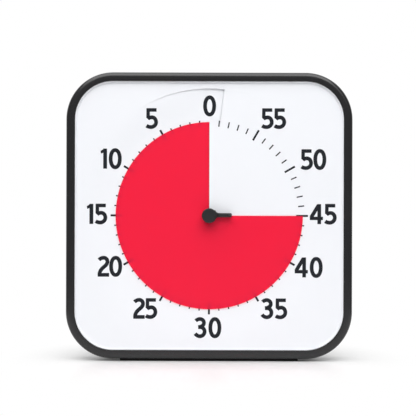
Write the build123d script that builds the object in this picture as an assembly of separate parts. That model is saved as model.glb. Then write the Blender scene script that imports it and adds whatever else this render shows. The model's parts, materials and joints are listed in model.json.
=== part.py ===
"""Visual countdown timer: a square case whose red disc turns back to zero through a slit in the dial.

Millimetres. X is to the right, Y runs from the dial to the back, Z is up, and z = 0 is the table.
The dial's axis is the line x = 0, z = dial_z. The disc and the dial card are both one turn of a
flat spiral with the same rise, so the disc passes from the front of the card to the back of it at
the slit. Model at rest: the pointer is at three o'clock and the feet are folded out.
"""
from build123d import *
import math
import os

# Case
case_size = 305.0           # width and height
case_depth = 40.0           # front of the bezel to the back wall
corner_radius = 50.0
wall = 3.0                  # side walls
back_wall = 2.2
bezel_band = 9.0            # black band seen around the dial
bezel_flange = 3.0          # thickness of that band
bezel_depth = 18.0          # front of the bezel to the seam
front_edge_round = 4.0
band_edge_round = 2.0
back_edge_round = 1.5
plate_clearance = 0.3       # between the side walls and the plates inside them
lip_thickness = 1.6         # the housing's lip, which fits inside the bezel
lip_clearance = 0.15
lip_root = 4.0

# Case screws and the ears that they go through
ear_width = 8.0
ear_depth = 5.0             # how far an ear stands in from the side wall
ear_clearance = 0.3
ear_on_top = 45.0           # ears on the top and bottom walls, from the middle
ear_on_side = 80.0          # ears on the side walls, from the middle
screw_inset = 4.8           # outer face of the case to the screw's axis
screw_radius = 1.4
screw_head_radius = 2.4
screw_head_height = 1.8
screw_seat = 10.0           # housing stock under the screw's head
screw_bite = 9.0            # length in the bezel's ear
screw_clearance = 0.2

# Dial card, disc and slit
disc_radius = 100.0
disc_thickness = 0.4
disc_gap_angle = 1.5        # the disc is a full circle less this
spiral_rise = 2.0           # step of the card at the slit
card_thickness = 0.8
card_recess_margin = 8.1    # border between the black band and the recess
card_recess_wall = 1.0
card_start_drop = 0.1       # spiral's high end below the border's face
card_bore = 7.0
slit_reach = 2.0            # the slit runs this far past the disc
flap_angle = 6.3            # width of the low flap right of the slit
rest_angle = 90.0           # pointer at rest, clockwise from twelve

# Support plate behind the card
support_gap = 4.2           # back of the card's border to the plate
support_thickness = 2.0
support_rim = 4.0
support_hole = 9.0
boss_radius = 3.0
boss_height = 4.0
boss_pilot_depth = 5.5

# Pointer hub
hub_radius = 7.85
hub_height = 8.3
hub_edge_round = 0.9
hub_clearance = 0.5         # hub's underside to the disc at its foremost
sleeve_radius = 5.0
sleeve_clearance = 0.3
lever_length = 24.0         # axis to tip
lever_width = 4.4
lever_height = 4.6
lever_rise = 0.55           # lever's middle above the disc's cut edge
neck_length = 6.0           # tapered part of the lever past the hub
neck_root = 4.7             # where the taper starts inside the hub, and half its width there
nub_radius = 2.0
nub_height = 2.4
ring_radius = 8.0           # retaining ring behind the disc
ring_thickness = 0.6
ring_clearance = 0.3

# Arbors and wheels of the movement
arbor_radius = 2.0
arbor_seat = 1.5            # where the centre wheel sits
arbor_in_hub = 5.8
wheel_arbor = 0.8
pivot_radius = 0.5
pivot_clearance = 0.05
pivot_length = 1.2
end_shake = 0.1
train_module = 0.3
motor_module = 0.25
centre_teeth = 60
third_teeth = 50
second_teeth = 60
pinion_teeth = 10
tooth_tip = 0.8             # above the pitch circle, in modules
tooth_root = 1.2            # below it
tooth_base = 0.25           # half a tooth's width at its root, as a share of the pitch
tooth_top = 0.09            # the same at its tip
wheel_thickness = 0.8
wheel_setback = 0.7         # back bearings to the centre wheel
layer_pitch = 2.4           # from one wheel's layer to the next
pinion_length = 1.8
third_direction = -100.0    # from each arbor to the next one, seen from the front
second_direction = -20.0
rotor_direction = 10.0
clutch_radius = 4.0
clutch_height = 0.8
clutch_sheet = 0.3
arbor_pivot_radius = 1.0
magnet_radius = 1.9
magnet_length = 2.4
magnet_clearance = 0.5
magnet_setback = 0.3        # rotor's pinion to its magnet

# Movement case
movement_size = 56.0
movement_rise = -6.0        # middle of the case above the arbor
movement_depth = 14.0
movement_wall = 1.5
movement_corner = 4.0
movement_flange = 5.0       # flange each side, for the screws
flange_screw_inset = 5.6    # movement's top and bottom to the screws
flange_thickness = 1.6
movement_seam = 6.0         # front of the movement to its own seam
bush_radius = 4.5
bush_height = 1.6
bearing_radius = 1.8
bearing_height = 1.0

# Stepping motor
stator_thickness = 1.2
stator_width = 11.8
stator_plate_height = 9.0
stator_leg = 2.4
stator_leg_height = 25.0
coil_radius = 2.6
coil_bore = 1.3
core_height = 2.0
coil_gap = 0.2
stator_post = 1.0

# Alarm cam and contact
cam_radius = 6.0
cam_thickness = 1.2
cam_notch = 1.6
cam_notch_angle = 180.0
cam_setback = 0.7           # behind the support plate
leaf_thickness = 0.3
leaf_width = 2.4
leaf_length = 24.0
leaf_gap = 0.4
leaf_spacing = 1.2
contact_block = 5.0

# Circuit board
board_width = 60.0
board_height = 24.0
board_drop = 55.0           # board's middle below the dial's axis
board_screw_inset = 4.0
board_edge = 3.0            # soldered ends of the leads to the board's edge
chip_width = 10.0
chip_height = 7.0
chip_thickness = 1.8
crystal_radius = 1.5
crystal_length = 8.0
capacitor_radius = 4.0
capacitor_length = 9.0
component_gap = 1.5

# Small screws that hold the movement and the board
small_screw_radius = 1.1
small_head_radius = 2.2
small_head_height = 1.4
small_screw_bite = 5.0

# Battery compartment
cell_radius = 7.25
cell_length = 49.2
cell_nub_radius = 2.75
cell_nub_height = 1.0
cell_clearance = 0.5
battery_drop = 90.5         # cell's axis below the dial's axis
spring_room = 5.0           # between the cell and the end wall, on the spring's side
plate_room = 1.6            # the same on the other side
contact_thickness = 0.3
contact_size = 10.0
contact_tab = 3.0
contact_slot_clearance = 0.3
dimple_radius = 2.6
spring_radius = 3.0
spring_wire = 0.35
spring_turns = 3.5
well_wall = 1.6
door_width = 64.0
door_height = 23.0          # hinge axis to the lower edge
door_thickness = 1.9
door_clearance = 0.3
door_seat_gap = 0.1
door_axis_rise = 11.0       # hinge axis above the cell's axis
door_pin_radius = 0.7
door_pin_length = 1.2
door_pin_clearance = 0.06
door_frame = 3.0
latch_width = 10.0
latch_thickness = 1.2
latch_depth = 3.1
latch_clearance = 0.6
door_grip_radius = 5.0

# Sound switch
switch_x = 55.0
switch_drop = 52.5          # below the dial's axis
switch_travel = 3.0
switch_knob_width = 4.0
switch_knob_height = 3.0
switch_knob_proud = 0.6     # past the bottom of the dished recess
switch_dish_width = 18.0
switch_dish_height = 9.0
switch_dish_depth = 1.0
switch_body_height = 7.0
switch_body_depth = 5.0
switch_body_wall = 1.0
switch_foot = 8.0           # knob's foot inside the body
switch_foot_thickness = 1.2
switch_clearance = 0.3
switch_flange = 3.0
switch_peg_radius = 0.9
switch_peg_clearance = 0.1
switch_peg_length = 1.8

# Buzzer
buzzer_x = -55.0
buzzer_drop = 47.5          # below the dial's axis
buzzer_radius = 13.5
buzzer_thickness = 0.5
ceramic_radius = 10.0
ceramic_thickness = 0.3
buzzer_seat = 1.0
buzzer_room = 3.3           # air between the buzzer and the back wall
buzzer_rim_wall = 1.6
buzzer_rim_height = 5.0
buzzer_clearance = 0.1
sound_hole_radius = 1.0
sound_hole_pitch = 4.0
sound_hole_rings = 2

# Keyhole for a wall screw
keyhole_radius = 4.5
keyhole_slot = 4.4
keyhole_rise = 11.0
keyhole_drop = 43.0         # below the top of the case

# Fold-out feet
foot_x = 85.0
foot_width = 26.0
foot_length = 64.0          # hinge axis to tip
foot_thickness = 6.5
foot_under_axis = 4.0
foot_heel = 2.6
foot_heel_round = 2.5
foot_tip_round = 2.0
foot_side_gap = 0.4
foot_end_gap = 0.6
foot_floor_gap = 0.3
foot_pin_radius = 1.5
foot_pin_clearance = 0.05
pocket_wall = 1.8
pocket_side_wall = 3.0
pad_width = 18.0
pad_length = 12.0
pad_thickness = 3.7
pad_proud = 3.0             # a foot's pad stands out of its underside
pad_end = 5.0               # tip of the foot to the pad
grip_radius = 8.0           # finger scoop above the folded foot
grip_depth = 4.0
strip_length = 190.0        # rubber strip under the case
strip_width = 20.0
strip_height = 2.5
strip_setback = 6.0         # front of the case to the strip

# Leads
lead_radius = 0.6
lead_bend = 3.0
lead_spacing = 2.5
lead_clearance = 0.4
lead_tail = 1.0             # how far a motor lead goes in over the coil's end
buzzer_lead_rise = 5.0      # lower buzzer lead above the board's middle
buzzer_lead_pitch = 3.75

# Modelling allowances
pick_tolerance = 0.01       # for choosing the edges that lie in a plane
overcut = 1.0               # how far a cut runs past the faces that it opens

# Depths and places that follow from those
front_y = -case_depth / 2
back_y = case_depth / 2
seam_y = front_y + bezel_depth
inner_back_y = back_y - back_wall
base_z = strip_height
case_top_z = base_z + case_size
dial_z = base_z + case_size / 2
card_recess_radius = case_size / 2 - bezel_band - card_recess_margin
card_y = front_y + bezel_flange
card_back_y = card_y + card_thickness
support_y = card_back_y + support_gap
support_back_y = support_y + support_thickness
plate_size = case_size - 2 * (wall + plate_clearance)
plate_radius = corner_radius - wall - plate_clearance
card_spiral_y = card_y + card_start_drop + card_thickness / 2
disc_y = card_spiral_y + spiral_rise * (rest_angle / 360 - 0.5)
disc_front_y = disc_y - spiral_rise * rest_angle / 360 - disc_thickness / 2
disc_back_y = disc_y + spiral_rise * (2 - rest_angle / 360) + disc_thickness / 2
hub_y = disc_front_y - hub_clearance
hub_front_y = hub_y - hub_height
lever_y = hub_y - lever_height
ring_y = disc_back_y + ring_clearance
ring_back_y = ring_y + ring_thickness
movement_y = support_back_y + boss_height
movement_back_y = movement_y + movement_depth
movement_seam_y = movement_y + movement_seam
flange_back_y = movement_y + flange_thickness
train_front_y = movement_y + movement_wall
train_back_y = movement_back_y - movement_wall
bearing_front_y = train_front_y + bearing_height
bearing_back_y = train_back_y - bearing_height
screw_seat_y = seam_y + screw_seat
centre_wheel_y = bearing_back_y - wheel_setback - wheel_thickness
third_wheel_y = centre_wheel_y - layer_pitch
second_wheel_y = third_wheel_y - layer_pitch
magnet_y = second_wheel_y + (wheel_thickness + pinion_length) / 2 + magnet_setback
stator_y = magnet_y + (magnet_length - stator_thickness) / 2
coil_y = stator_y + stator_thickness / 2
motor_lead_y = coil_y + coil_radius + lead_radius
board_z = dial_z - board_drop
battery_z = dial_z - battery_drop
switch_z = dial_z - switch_drop
buzzer_z = dial_z - buzzer_drop
board_back_y = flange_back_y
board_lead_y = board_back_y + lead_radius
door_axis_y = back_y - door_thickness / 2
door_axis_z = battery_z + door_axis_rise
door_low_z = door_axis_z - door_height
door_seat_y = back_y - door_thickness - door_seat_gap
cell_y = door_seat_y - cell_clearance - cell_radius
well_floor_y = cell_y - cell_radius - cell_clearance
well_length = cell_length + cell_nub_height + spring_room + plate_room
switch_cavity = (switch_foot + switch_travel) / 2 + switch_clearance
switch_low_z = switch_z - switch_body_height / 2
switch_high_z = switch_z + switch_body_height / 2
buzzer_y = inner_back_y - buzzer_room - buzzer_thickness
foot_axis_y = back_y - foot_under_axis
foot_axis_z = foot_under_axis + pad_proud
pocket_floor_y = foot_axis_y - foot_heel - foot_floor_gap
pocket_top_z = foot_axis_z + foot_length + foot_end_gap


def slab(outline, y_front, y_back):
    """Give an outline drawn in X and Z a depth from y_front to y_back."""
    return extrude(Plane.XZ.offset(-y_back) * outline, amount=y_back - y_front)


def rod(radius, y_front, y_back, x=0.0, z=dial_z):
    """Round bar along Y."""
    return slab(Pos(x, z) * Circle(radius), y_front, y_back)


def cross_rod(radius, x_low, x_high, y, z):
    """Round bar along X."""
    return extrude(Plane.YZ.offset(x_low) * Pos(y, z) * Circle(radius), amount=x_high - x_low)


def block(x_low, x_high, y_low, y_high, z_low, z_high):
    """Box between two corners."""
    centre = Pos((x_low + x_high) / 2, (y_low + y_high) / 2, (z_low + z_high) / 2)
    return centre * Box(x_high - x_low, y_high - y_low, z_high - z_low)


def square(size, radius):
    """Outline with round corners, centred on the dial."""
    return Pos(0, dial_z) * RectangleRounded(size, size, radius)


def square_slab(size, radius, y_front, y_back):
    """Plate with round corners, centred on the dial."""
    return slab(square(size, radius), y_front, y_back)


def turned(shape, degrees):
    """The shape turned about the dial's axis, clockwise seen from the front."""
    return Pos(0, 0, dial_z) * Rot(0, degrees, 0) * Pos(0, 0, -dial_z) * shape


def ear_places():
    """Each ear's angle about the dial and its offset along the wall."""
    walls = ((0, ear_on_top), (90, ear_on_side), (180, ear_on_top), (270, ear_on_side))
    return [(angle, side * offset) for angle, offset in walls for side in (-1, 1)]


def ears(y_front, y_back, clearance=0.0):
    """Blocks that stand in from the middle of the side walls, one at each case screw."""
    top = case_top_z - wall / 2
    bottom = case_top_z - wall - ear_depth - clearance
    half = ear_width / 2 + clearance
    return [
        turned(block(offset - half, offset + half, y_front, y_back, bottom, top), angle)
        for angle, offset in ear_places()
    ]


def screw_rods(radius, y_front, y_back):
    """Round bars on the axes of the case screws."""
    return [
        turned(rod(radius, y_front, y_back, offset, case_top_z - screw_inset), angle)
        for angle, offset in ear_places()
    ]


def spiral_sheet(inner_radius, outer_radius, thickness, angle, y_start, start_angle=0.0):
    """Flat spiral about the dial's axis that falls back by spiral_rise in each clockwise turn.

    Its first edge points at start_angle, clockwise from twelve, with its middle at y_start.
    """
    middle = (inner_radius + outer_radius) / 2
    path = Helix(pitch=spiral_rise, height=spiral_rise * angle / 360, radius=middle)
    section = Plane.XZ * (Pos(middle, 0) * Rectangle(outer_radius - inner_radius, thickness))
    sheet = Rot(0, 0, start_angle) * sweep(section, path=path, is_frenet=True)
    return Plane(origin=(0, y_start, dial_z), x_dir=(0, 0, 1), z_dir=(0, 1, 0)) * sheet


def dial_sector(inner_radius, outer_radius, angle, y_front, y_back):
    """Wedge of a ring that starts at twelve and goes clockwise."""
    ring = Circle(outer_radius) - Circle(inner_radius)
    reach = 2 * outer_radius
    end = (reach * math.sin(math.radians(angle)), reach * math.cos(math.radians(angle)))
    wedge = make_face(Polyline((0, 0), (0, reach), end, close=True))
    return slab(Pos(0, dial_z) * (ring & wedge), y_front, y_back)


def edges_at(shape, y):
    """Edges of a shape that lie in the plane at y."""
    return shape.edges().filter_by_position(Axis.Y, y - pick_tolerance, y + pick_tolerance)


def front_bezel():
    """Black ring that frames the dial and carries the ears for the case screws."""
    window_size = case_size - 2 * bezel_band
    inner_reach = window_size / 2 + pick_tolerance
    shell = square_slab(case_size, corner_radius, front_y, seam_y)
    shell -= square_slab(window_size, corner_radius - bezel_band, front_y, card_y)
    shell -= square_slab(case_size - 2 * wall, corner_radius - wall, card_y, seam_y)
    outer_edges = [edge for edge in edges_at(shell, front_y) if far_from_dial(edge) > inner_reach]
    shell = fillet(outer_edges, front_edge_round)
    inner_edges = [edge for edge in edges_at(shell, front_y) if far_from_dial(edge) < inner_reach]
    shell = fillet(inner_edges, band_edge_round)
    shell += ears(card_y, seam_y)
    shell -= screw_rods(screw_radius, seam_y - screw_bite - overcut, seam_y)
    return shell


def far_from_dial(edge):
    """How far an edge of a rounded square reaches from the dial's axis, along X or Z."""
    box = edge.bounding_box()
    reaches = (abs(box.min.X), abs(box.max.X), abs(box.min.Z - dial_z), abs(box.max.Z - dial_z))
    return max(reaches)


def dial_card():
    """White card with a flat border and a spiral floor, cut at twelve so that the disc passes through."""
    border = square_slab(plate_size, plate_radius, card_y, card_back_y)
    border -= ears(card_y, card_back_y, ear_clearance)
    border -= rod(card_recess_radius, card_y, card_back_y)
    rim = rod(card_recess_radius + card_recess_wall, card_y, support_y)
    rim -= rod(card_recess_radius, card_y, support_y)
    floor_radius = card_recess_radius + card_recess_wall / 2
    floor = spiral_sheet(card_bore, floor_radius, card_thickness, 360 + flap_angle, card_spiral_y)
    slit_radius = disc_radius + slit_reach
    step_y = card_spiral_y + spiral_rise / 2
    floor -= dial_sector(slit_radius, floor_radius + overcut, flap_angle, card_y - overcut, step_y)
    floor -= dial_sector(card_bore / 2, slit_radius, 2 * flap_angle, step_y, support_y)
    return border + rim + floor


def red_disc():
    """Thin red disc, cut along one radius, that slides on the pointer hub's sleeve."""
    bore = sleeve_radius + sleeve_clearance
    return spiral_sheet(bore, disc_radius, disc_thickness, 360 - disc_gap_angle, disc_y, rest_angle)


def dial_support():
    """Plate that backs the card and carries the movement and the circuit board."""
    plate = square_slab(plate_size, plate_radius, support_y, support_back_y)
    rim = square_slab(plate_size, plate_radius, card_back_y, support_y)
    rim -= square_slab(plate_size - 2 * support_rim, plate_radius - support_rim, card_back_y, support_y)
    plate += rim
    plate -= ears(card_back_y, support_back_y, ear_clearance)
    plate += [rod(boss_radius, support_back_y, movement_y, x, z) for x, z in boss_places()]
    pilot_y = movement_y - boss_pilot_depth
    plate -= [rod(small_screw_radius, pilot_y, movement_y, x, z) for x, z in boss_places()]
    plate -= rod(support_hole, support_y, support_back_y)
    return plate


def boss_places():
    """Middles of the bosses under the movement's flange and under the circuit board."""
    flange_x = (movement_size + movement_flange) / 2
    offset_z = movement_size / 2 - flange_screw_inset
    middle_z = dial_z + movement_rise
    board_x = board_width / 2 - board_screw_inset
    flange = [(x, middle_z + side * offset_z) for x in (-flange_x, flange_x) for side in (-1, 1)]
    return flange + [(x, board_z) for x in (-board_x, board_x)]


def support_screws():
    """The small screws that hold the movement's flange and the circuit board."""
    tip_y = movement_y - small_screw_bite
    head_y = flange_back_y + small_head_height
    shanks = [rod(small_screw_radius, tip_y, flange_back_y, x, z) for x, z in boss_places()]
    heads = [rod(small_head_radius, flange_back_y, head_y, x, z) for x, z in boss_places()]
    return [shank + head for shank, head in zip(shanks, heads)]


def case_screws():
    """Long screws that go through the housing into the bezel's ears."""
    shanks = screw_rods(screw_radius, seam_y - screw_bite, screw_seat_y)
    heads = screw_rods(screw_head_radius, screw_seat_y, screw_seat_y + screw_head_height)
    return [shank + head for shank, head in zip(shanks, heads)]


def pointer_hub():
    """Black hub that a finger turns, with a lever and a nub that point at the minutes."""
    hub = rod(hub_radius, hub_front_y, hub_y)
    hub = fillet(edges_at(hub, hub_front_y), hub_edge_round)
    lever_z = dial_z + lever_rise
    half = lever_width / 2
    tip = lever_length - half
    neck = hub_radius + neck_length
    outline = Pos((tip + neck) / 2, lever_z) * Rectangle(tip - neck, lever_width)
    outline += Pos(tip, lever_z) * Circle(half)
    taper = (
        (neck_root, dial_z - neck_root),
        (neck, lever_z - half),
        (neck, lever_z + half),
        (neck_root, dial_z + neck_root),
    )
    outline += make_face(Polyline(*taper, close=True))
    hub += slab(outline, lever_y, hub_y)
    hub += rod(nub_radius, lever_y - nub_height, lever_y, tip, lever_z)
    hub += rod(sleeve_radius, hub_y, ring_back_y)
    hub -= rod(arbor_radius, hub_y - arbor_in_hub, ring_back_y)
    return hub


def disc_ring():
    """Ring on the end of the sleeve that keeps the disc on the hub."""
    return rod(ring_radius, ring_y, ring_back_y) - rod(sleeve_radius, ring_y, ring_back_y)


def train_layout():
    """Middles of the four arbors, from the dial's axis to the rotor, as offsets in X and Z."""
    steps = [
        (train_module * (centre_teeth + pinion_teeth) / 2, third_direction),
        (train_module * (third_teeth + pinion_teeth) / 2, second_direction),
        (motor_module * (second_teeth + pinion_teeth) / 2, rotor_direction),
    ]
    places = [(0.0, 0.0)]
    for distance, direction in steps:
        x, z = places[-1]
        angle = math.radians(direction)
        places.append((x + distance * math.cos(angle), z + distance * math.sin(angle)))
    return places


def gear(teeth, module, y_front, thickness, place, tooth_direction):
    """Spur gear with straight-sided teeth, one of them pointing in tooth_direction."""
    pitch_radius = teeth * module / 2
    tip = pitch_radius + tooth_tip * module
    root = pitch_radius - tooth_root * module
    step = 360 / teeth
    points = []
    for tooth in range(teeth):
        middle = tooth_direction + tooth * step
        corners = ((root, -tooth_base), (tip, -tooth_top), (tip, tooth_top), (root, tooth_base))
        for radius, share in corners:
            angle = math.radians(middle + share * step)
            points.append((radius * math.cos(angle), radius * math.sin(angle)))
    outline = make_face(Polyline(*points, close=True))
    return slab(Pos(place[0], dial_z + place[1]) * outline, y_front, y_front + thickness)


def meshed_pinion(module, wheel_y, place, direction):
    """Pinion that meshes with a wheel whose tooth points at it, centred on the wheel's thickness."""
    y_front = wheel_y + (wheel_thickness - pinion_length) / 2
    facing = direction + 180 + 180 / pinion_teeth
    return gear(pinion_teeth, module, y_front, pinion_length, place, facing)


def train_arbor(place):
    """Thin arbor with a pivot at each end."""
    x = place[0]
    z = dial_z + place[1]
    body = rod(wheel_arbor, bearing_front_y + end_shake, bearing_back_y - end_shake, x, z)
    front_pivot = rod(pivot_radius, bearing_front_y - pivot_length, bearing_front_y + end_shake, x, z)
    back_pivot = rod(pivot_radius, bearing_back_y - end_shake, bearing_back_y + pivot_length, x, z)
    return body + front_pivot + back_pivot


def centre_arbor():
    """Steel arbor that carries the pointer hub in front and the centre wheel at the back."""
    shoulder = centre_wheel_y - clutch_height
    arbor = rod(arbor_radius, hub_y - arbor_in_hub, shoulder)
    arbor += rod(arbor_seat, shoulder, bearing_back_y - end_shake)
    return arbor + rod(arbor_pivot_radius, bearing_back_y - end_shake, bearing_back_y + pivot_length)


def centre_wheel():
    """Wheel that the arbor can slip in when the pointer is set by hand."""
    wheel = gear(centre_teeth, train_module, centre_wheel_y, wheel_thickness, (0, 0), third_direction)
    return wheel - rod(arbor_seat, centre_wheel_y, centre_wheel_y + wheel_thickness)


def clutch_spring():
    """Dished washer that presses the centre wheel against the arbor's shoulder."""
    front = centre_wheel_y - clutch_height
    points = (
        (arbor_seat, front),
        (clutch_radius, centre_wheel_y - clutch_sheet),
        (clutch_radius, centre_wheel_y),
        (arbor_seat, front + clutch_sheet),
    )
    section = Plane.XY * make_face(Polyline(*points, close=True))
    return Pos(0, 0, dial_z) * revolve(section, axis=Axis.Y)


def third_wheel():
    """First wheel of the reduction, one moulding with its pinion and arbor."""
    place = train_layout()[1]
    wheel = gear(third_teeth, train_module, third_wheel_y, wheel_thickness, place, second_direction)
    pinion = meshed_pinion(train_module, centre_wheel_y, place, third_direction)
    return wheel + pinion + train_arbor(place)


def second_wheel():
    """Second wheel of the reduction, one moulding with its pinion and arbor."""
    place = train_layout()[2]
    wheel = gear(second_teeth, motor_module, second_wheel_y, wheel_thickness, place, rotor_direction)
    pinion = meshed_pinion(train_module, third_wheel_y, place, second_direction)
    return wheel + pinion + train_arbor(place)


def rotor_pinion():
    """The motor's arbor and pinion."""
    place = train_layout()[3]
    return meshed_pinion(motor_module, second_wheel_y, place, rotor_direction) + train_arbor(place)


def rotor_magnet():
    """Round magnet on the rotor's arbor."""
    x, offset = train_layout()[3]
    magnet = rod(magnet_radius, magnet_y, magnet_y + magnet_length, x, dial_z + offset)
    return magnet - rod(wheel_arbor, magnet_y, magnet_y + magnet_length, x, dial_z + offset)


def stator():
    """Soft iron yoke: a plate round the magnet, two legs and the core that the coil is wound on."""
    x, offset = train_layout()[3]
    z = dial_z + offset
    half = stator_width / 2
    top = z + stator_leg_height
    outline = Pos(x, z) * Rectangle(stator_width, stator_plate_height)
    outline -= Pos(x, z) * Circle(magnet_radius + magnet_clearance)
    for side in (-1, 1):
        leg_x = x + side * (half - stator_leg / 2)
        outline += Pos(leg_x, (z + stator_plate_height / 2 + top) / 2) * Rectangle(
            stator_leg, top - z - stator_plate_height / 2
        )
    outline += Pos(x, top - core_height / 2) * Rectangle(stator_width, core_height)
    return slab(outline, stator_y, stator_y + stator_thickness)


def coil():
    """Copper winding round the stator's core."""
    x, offset = train_layout()[3]
    half = stator_width / 2 - stator_leg - coil_gap
    z = dial_z + offset + stator_leg_height - core_height / 2
    winding = cross_rod(coil_radius, x - half, x + half, coil_y, z)
    return winding - cross_rod(coil_bore, x - half, x + half, coil_y, z)


def movement_outline(inset=0.0):
    """Square outline of the movement's case."""
    size = movement_size - 2 * inset
    return Pos(0, dial_z + movement_rise) * RectangleRounded(size, size, movement_corner - inset)


def bearings(y_front, y_back, hole_front, hole_back):
    """Bosses for the three thin arbors, and the holes that their pivots turn in."""
    places = [(x, dial_z + z) for x, z in train_layout()[1:]]
    bosses = [rod(bearing_radius, y_front, y_back, x, z) for x, z in places]
    holes = [rod(pivot_radius + pivot_clearance, hole_front, hole_back, x, z) for x, z in places]
    return bosses, holes


def movement_cover():
    """Front half of the movement's case, with the flange that is screwed to the support plate."""
    flange_size = movement_size + 2 * movement_flange
    cover = slab(movement_outline(), movement_y, movement_seam_y)
    flange = Pos(0, dial_z + movement_rise) * RectangleRounded(flange_size, movement_size, movement_corner)
    cover += slab(flange, movement_y, flange_back_y)
    cover -= slab(movement_outline(movement_wall), train_front_y, movement_seam_y)
    bosses, holes = bearings(train_front_y, bearing_front_y, bearing_front_y - pivot_length, bearing_front_y)
    cover += bosses
    cover += rod(bush_radius, movement_y - bush_height, bearing_front_y)
    cover -= holes
    cover -= rod(arbor_radius + pivot_clearance, movement_y - bush_height, bearing_front_y)
    cover -= [rod(small_screw_radius, movement_y, flange_back_y, x, z) for x, z in boss_places()]
    return cover


def movement_base():
    """Back half of the movement's case, with the wheels' back bearings and the stator's posts."""
    base = slab(movement_outline(), movement_seam_y, movement_back_y)
    base -= slab(movement_outline(movement_wall), movement_seam_y, train_back_y)
    hole_back = bearing_back_y + pivot_length
    bosses, holes = bearings(bearing_back_y, train_back_y, bearing_back_y, hole_back)
    base += bosses
    base += rod(bush_radius, bearing_back_y, train_back_y)
    x, offset = train_layout()[3]
    post_z = dial_z + offset + stator_plate_height / 2 + stator_leg_height / 2
    for side in (-1, 1):
        post_x = x + side * (stator_width - stator_leg) / 2
        base += rod(stator_post, stator_y + stator_thickness, train_back_y, post_x, post_z)
    base -= holes
    base -= rod(arbor_pivot_radius + pivot_clearance, bearing_back_y, hole_back)
    first, last = motor_lead_x(0), motor_lead_x(1)
    low = dial_z + movement_rise - movement_size / 2
    gap = lead_radius + lead_clearance
    base -= block(first - gap, last + gap, movement_seam_y, motor_lead_y + gap, low, low + movement_corner)
    return base


def alarm_cam():
    """Cam on the centre arbor whose notch lets the contact close at zero."""
    y_front = support_back_y + cam_setback
    cam = rod(cam_radius, y_front, y_front + cam_thickness)
    cam -= rod(arbor_radius, y_front, y_front + cam_thickness)
    notch = block(
        -cam_notch / 2, cam_notch / 2,
        y_front, y_front + cam_thickness,
        dial_z + cam_radius - cam_notch, dial_z + cam_radius,
    )
    return cam - turned(notch, cam_notch_angle)


def alarm_contact():
    """Two leaf springs beside the cam, in a small block on the support plate."""
    middle_y = support_back_y + cam_setback + cam_thickness / 2
    leaf_x = cam_radius + leaf_gap
    low = dial_z - leaf_length / 2 - contact_block / 2
    pitch = leaf_thickness + leaf_spacing
    holder = block(
        leaf_x - leaf_spacing / 2, leaf_x + pitch + leaf_thickness + leaf_spacing / 2,
        support_back_y, middle_y + leaf_width / 2,
        low, low + contact_block,
    )
    for leaf in (0, 1):
        x = leaf_x + leaf * pitch
        holder += block(
            x, x + leaf_thickness,
            middle_y - leaf_width / 2, middle_y + leaf_width / 2,
            low, low + leaf_length,
        )
    return holder


def circuit_board():
    """Board that steps the motor and sounds the buzzer."""
    outline = Pos(0, board_z) * Rectangle(board_width, board_height)
    board = slab(outline, movement_y, board_back_y)
    return board - [rod(small_screw_radius, movement_y, board_back_y, x, z) for x, z in boss_places()]


def control_chip():
    """Timer chip on the board."""
    return block(
        -chip_width / 2, chip_width / 2,
        board_back_y, board_back_y + chip_thickness,
        board_z - chip_height / 2, board_z + chip_height / 2,
    )


def quartz_crystal():
    """Can with the quartz, lying on the board."""
    x = -chip_width / 2 - component_gap - crystal_radius
    return Pos(x, board_back_y + crystal_radius, board_z) * Cylinder(crystal_radius, crystal_length)


def storage_capacitor():
    """Capacitor lying on the board beside the chip."""
    x = chip_width / 2 + component_gap + capacitor_radius
    return Pos(x, board_back_y + capacitor_radius, board_z) * Cylinder(capacitor_radius, capacitor_length)


def aa_cell():
    """The battery, with its raised end on the right."""
    start = -well_length / 2 + spring_room
    shoulder = start + cell_length
    cell = cross_rod(cell_radius, start, shoulder, cell_y, battery_z)
    return cell + cross_rod(cell_nub_radius, shoulder, shoulder + cell_nub_height, cell_y, battery_z)


def contact_plate(side):
    """Plate at one end of the battery compartment, with a tab through the compartment's floor."""
    outer = side * well_length / 2
    inner = outer - side * contact_thickness
    low, high = min(outer, inner), max(outer, inner)
    half = contact_size / 2
    plate = block(low, high, cell_y - half, cell_y + half, battery_z - half, battery_z + half)
    half_tab = contact_tab / 2
    return plate + block(low, high, board_back_y, cell_y - half, battery_z - half_tab, battery_z + half_tab)


def positive_contact():
    """Contact plate with a dimple that touches the cell's raised end."""
    plate_face = well_length / 2 - contact_thickness
    dimple = plate_room - contact_thickness
    cone = Cone(dimple_radius, dimple_radius / 2, dimple, rotation=(0, -90, 0))
    return contact_plate(1) + Pos(plate_face - dimple / 2, cell_y, battery_z) * cone


def negative_contact():
    """Contact plate that carries the battery spring."""
    return contact_plate(-1)


def battery_spring():
    """Coil of wire between the plate and the flat end of the cell."""
    length = spring_room - contact_thickness - 2 * spring_wire
    path = Helix(pitch=length / spring_turns, height=length, radius=spring_radius)
    wire = sweep(Plane.XZ * Pos(spring_radius, 0) * Circle(spring_wire), path=path, is_frenet=True)
    start_x = -well_length / 2 + contact_thickness + spring_wire
    return Plane(origin=(start_x, cell_y, battery_z), x_dir=(0, 0, 1), z_dir=(1, 0, 0)) * wire


def battery_door():
    """Door of the battery compartment, with its hinge pins at the top and a latch tongue below."""
    half = door_width / 2
    door = block(-half, half, back_y - door_thickness, back_y, door_low_z, door_axis_z)
    door += cross_rod(door_thickness / 2, -half, half, door_axis_y, door_axis_z)
    reach = half + door_clearance + door_pin_length
    door += cross_rod(door_pin_radius, -reach, reach, door_axis_y, door_axis_z)
    tongue_z = battery_z - cell_radius - cell_clearance + latch_clearance
    inner_y = back_y - door_thickness
    return door + block(
        -latch_width / 2, latch_width / 2,
        inner_y - latch_depth, inner_y,
        tongue_z, tongue_z + latch_thickness,
    )


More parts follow.
